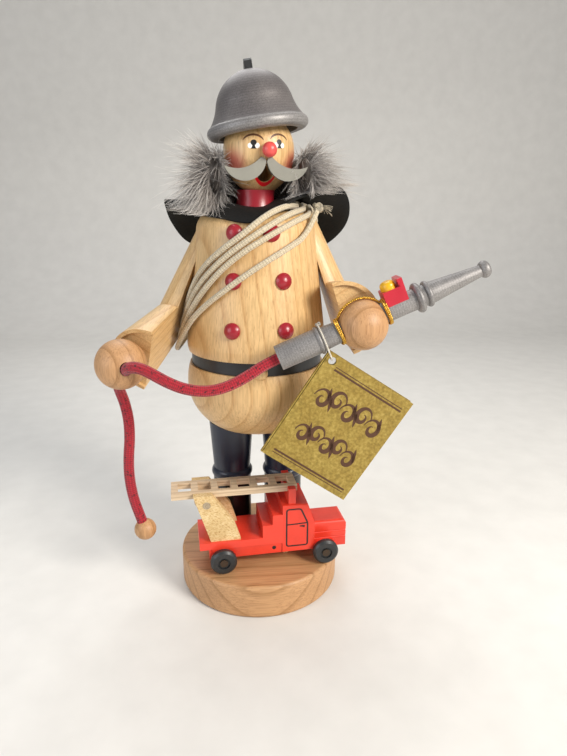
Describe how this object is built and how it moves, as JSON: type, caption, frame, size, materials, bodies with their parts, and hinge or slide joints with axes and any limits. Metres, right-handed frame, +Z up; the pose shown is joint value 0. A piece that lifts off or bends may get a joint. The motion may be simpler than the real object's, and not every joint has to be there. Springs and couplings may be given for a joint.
{
  "type": "incense smoker",
  "caption": "Turned wooden incense smoker, a fireman with helmet, hose and nozzle, and a toy fire engine with a raising ladder on its base.",
  "frame": {"origin": "centre of the base disc's underside", "axes": "+Z up, the figure faces -Y, its nozzle points to +X"},
  "size_m": [0.1515, 0.0833, 0.2253],
  "materials": {
    "beech": "oiled beech",
    "maple": "waxed limewood",
    "navy": "navy stain lacquer",
    "silver": "silver paint over wood",
    "black_paint": "black lacquer",
    "brass": "pressed brass",
    "steel": "bright steel",
    "red_paint": "dark red lacquer",
    "engine_red": "bright red lacquer",
    "grey_paint": "pale grey lacquer",
    "leather": "matte black leather",
    "fur": "grey rabbit fur",
    "rope": "cream cotton braid",
    "hose": "red braid",
    "gold": "gold elastic",
    "yellow": "yellow lacquer",
    "card": "printed card",
    "ply": "birch plywood"
  },
  "bodies": {
    "root": {"base_disc": "beech", "leg_left": "navy", "leg_right": "navy", "skirt": "maple", "belt": "black_paint", "belt_buckle": "maple", "incense_dish": "brass", "dish_nail": "steel", "chassis": "engine_red", "bed": "engine_red", "steps": "engine_red", "front_axle_block": "engine_red", "cab": "engine_red", "bonnet": "engine_red", "ladder_rest": "ply", "ladder_bracket_near": "ply", "ladder_bracket_far": "ply", "ladder_dowel": "ply", "rear_axle": "steel", "front_axle": "steel", "engine_dowel": "maple"},
    "upper": {"jacket": "maple", "buttons": "red_paint", "neck_ring": "red_paint", "head": "maple", "nose": "red_paint", "moustache_left": "grey_paint", "moustache_right": "grey_paint", "helmet": "silver", "helmet_comb": "black_paint", "neck_guard": "leather", "fur": "fur", "upper_arm_left": "maple", "forearm_left": "maple", "hand_left": "beech", "upper_arm_right": "maple", "forearm_right": "maple", "hand_right": "beech", "wrist_dowels": "maple", "nozzle": "silver", "valve_block": "red_paint", "valve_knob": "yellow", "hose": "hose", "hose_bead": "beech", "rope": "rope", "rope_knot": "rope", "gold_band": "gold"},
    "ladder": {"ladder": "ply", "ladder_block": "ply"},
    "wheel_rear_near": {"wheel_rear_near": "black_paint"},
    "wheel_rear_far": {"wheel_rear_far": "black_paint"},
    "wheel_front_near": {"wheel_front_near": "black_paint"},
    "wheel_front_far": {"wheel_front_far": "black_paint"},
    "tag": {"tag_back": "card", "tag_cord": "rope"},
    "tag_leaf": {"tag_front": "card"}
  },
  "joints": [
    {"name": "lift_off_upper_body", "type": "slide", "parent": "root", "child": "upper", "axis": [0, 0, 1], "range_m": [0, 0.06]},
    {"name": "ladder_raise", "type": "hinge", "parent": "root", "child": "ladder", "pos_m": [-0.02443, -0.01311, 0.0472], "axis": [0.0872, -0.9962, 0], "range_deg": [0, 25]},
    {"name": "tag_swing", "type": "hinge", "parent": "upper", "child": "tag", "pos_m": [0.02335, -0.02845, 0.12026], "axis": [0.9205, 0, 0.3907], "range_deg": [-30, 4]},
    {"name": "tag_open", "type": "hinge", "parent": "tag", "child": "tag_leaf", "pos_m": [0.02464, -0.0301, 0.11335], "axis": [-0.5446, 0, -0.8387], "range_deg": [-3, 18]},
    {"name": "wheel_spin_rear_near", "type": "hinge", "parent": "root", "child": "wheel_rear_near", "pos_m": [-0.01806, -0.01256, 0.0214], "axis": [-0.0872, 0.9962, 0], "continuous": true},
    {"name": "wheel_spin_rear_far", "type": "hinge", "parent": "root", "child": "wheel_rear_far", "pos_m": [-0.01806, -0.01256, 0.0214], "axis": [-0.0872, 0.9962, 0], "continuous": true},
    {"name": "wheel_spin_front_near", "type": "hinge", "parent": "root", "child": "wheel_front_near", "pos_m": [0.02717, -0.0086, 0.0214], "axis": [-0.0872, 0.9962, 0], "continuous": true},
    {"name": "wheel_spin_front_far", "type": "hinge", "parent": "root", "child": "wheel_front_far", "pos_m": [0.02717, -0.0086, 0.0214], "axis": [-0.0872, 0.9962, 0], "continuous": true}
  ]
}
